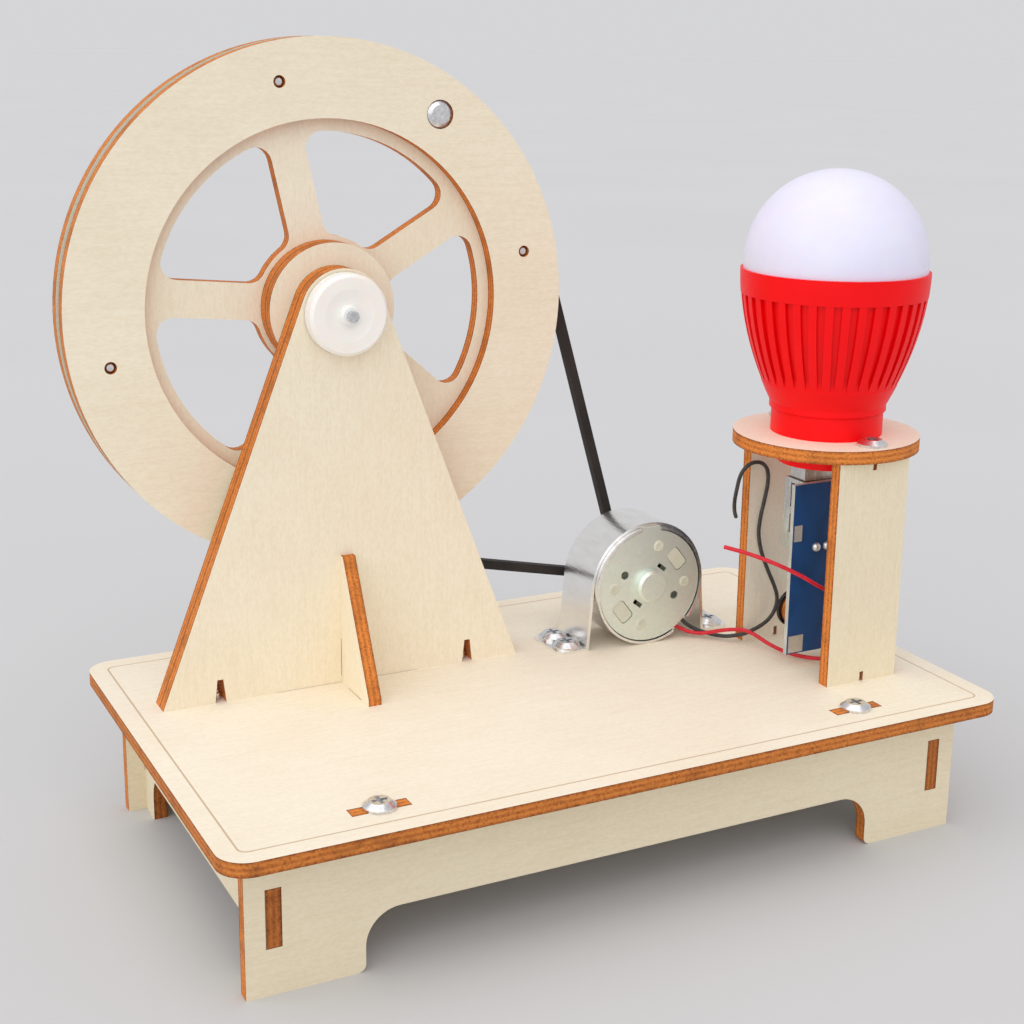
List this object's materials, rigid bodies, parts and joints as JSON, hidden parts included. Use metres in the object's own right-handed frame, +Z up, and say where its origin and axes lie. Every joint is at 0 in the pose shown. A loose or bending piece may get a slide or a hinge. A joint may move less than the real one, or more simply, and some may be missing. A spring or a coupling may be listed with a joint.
{
  "type": "hand crank generator",
  "caption": "Plywood hand crank generator kit: a cranked spoked wheel drives a small strapped motor by belt to light a lamp on a column.",
  "frame": {"origin": "on the table, at the middle of the whole part's outline seen from above", "axes": "+X along the base from the wheel to the lamp, +Y to the back where the crank grip is, +Z up"},
  "size_m": [0.155, 0.105, 0.1457],
  "materials": {
    "plywood": "raw birch plywood, laser cut, with browned edges",
    "steel": "bright zinc-plated steel",
    "motor_steel": "satin plated sheet steel",
    "nylon": "milky satin nylon",
    "rubber_belt": "matte rubber",
    "brass_metal": "satin brass",
    "copper": "bright copper",
    "dark_iron": "dark sintered iron",
    "red_plastic": "glossy red plastic",
    "white_plastic": "milky white plastic",
    "led_yellow": "yellow phosphor",
    "card_plastic": "pale moulded plastic",
    "blue_board": "blue solder mask",
    "black_plastic": "black moulded package",
    "tin": "tinned metal",
    "red_insulation": "soft red insulation",
    "black_insulation": "soft black insulation"
  },
  "bodies": {
    "base": {"base_plate": "plywood", "front_rail": "plywood", "back_rail": "plywood", "left_end_panel": "plywood", "right_end_panel": "plywood", "base_screws": "steel", "stand_front_board": "plywood", "stand_back_board": "plywood", "stand_brace": "plywood", "stand_screws": "steel", "drive_belt": "rubber_belt", "motor_can": "motor_steel", "motor_end_cap": "motor_steel", "brush_card": "card_plastic", "motor_bush": "brass_metal", "motor_magnet": "dark_iron", "motor_terminals": "tin", "motor_brushes": "copper", "motor_strap": "motor_steel", "strap_screws": "steel", "column_front_panel": "plywood", "column_back_panel": "plywood", "column_disc": "plywood", "column_screws": "steel", "disc_screws": "steel", "circuit_board": "blue_board", "socket_shell": "steel", "socket_tongue": "nylon", "coil_core": "dark_iron", "coil_winding": "copper", "boost_chip": "black_plastic", "diode": "black_plastic", "capacitors": "tin", "solder_joints": "tin", "red_wire": "red_insulation", "black_wire": "black_insulation"},
    "wheel": {"axle": "steel", "front_collar": "nylon", "rear_collar": "nylon", "front_hub_disc": "plywood", "middle_hub_disc": "plywood", "rear_hub_disc": "plywood", "front_ring": "plywood", "spoked_layer": "plywood", "back_ring": "plywood", "wheel_screws": "steel", "crank_screw": "steel", "crank_nut": "steel"},
    "grip": {"crank_grip": "nylon"},
    "rotor": {"motor_shaft": "steel", "rotor_core": "dark_iron", "rotor_windings": "copper", "commutator": "copper", "motor_pulley": "nylon"},
    "bulb": {"bulb_body": "red_plastic", "bulb_dome": "white_plastic", "led_board": "white_plastic", "led_chips": "led_yellow", "plug_shell": "steel", "plug_insert": "nylon"}
  },
  "joints": [
    {"name": "wheel_spin", "type": "hinge", "parent": "base", "child": "wheel", "pos_m": [-0.0295, 0.00815, 0.0977], "axis": [0, 1, 0], "continuous": true},
    {"name": "grip_spin", "type": "hinge", "parent": "wheel", "child": "grip", "pos_m": [-0.00705, 0.02775, 0.13201], "axis": [0, 1, 0], "continuous": true},
    {"name": "rotor_spin", "type": "hinge", "parent": "base", "child": "rotor", "pos_m": [0.0328, 0.01255, 0.0397], "axis": [0, 1, 0], "continuous": true},
    {"name": "bulb_unplug", "type": "slide", "parent": "base", "child": "bulb", "axis": [0, 0, 1], "range_m": [0, 0.03]}
  ],
  "couplings": [
    {"joint": "rotor_spin", "follows": "wheel_spin", "ratio": 16}
  ]
}
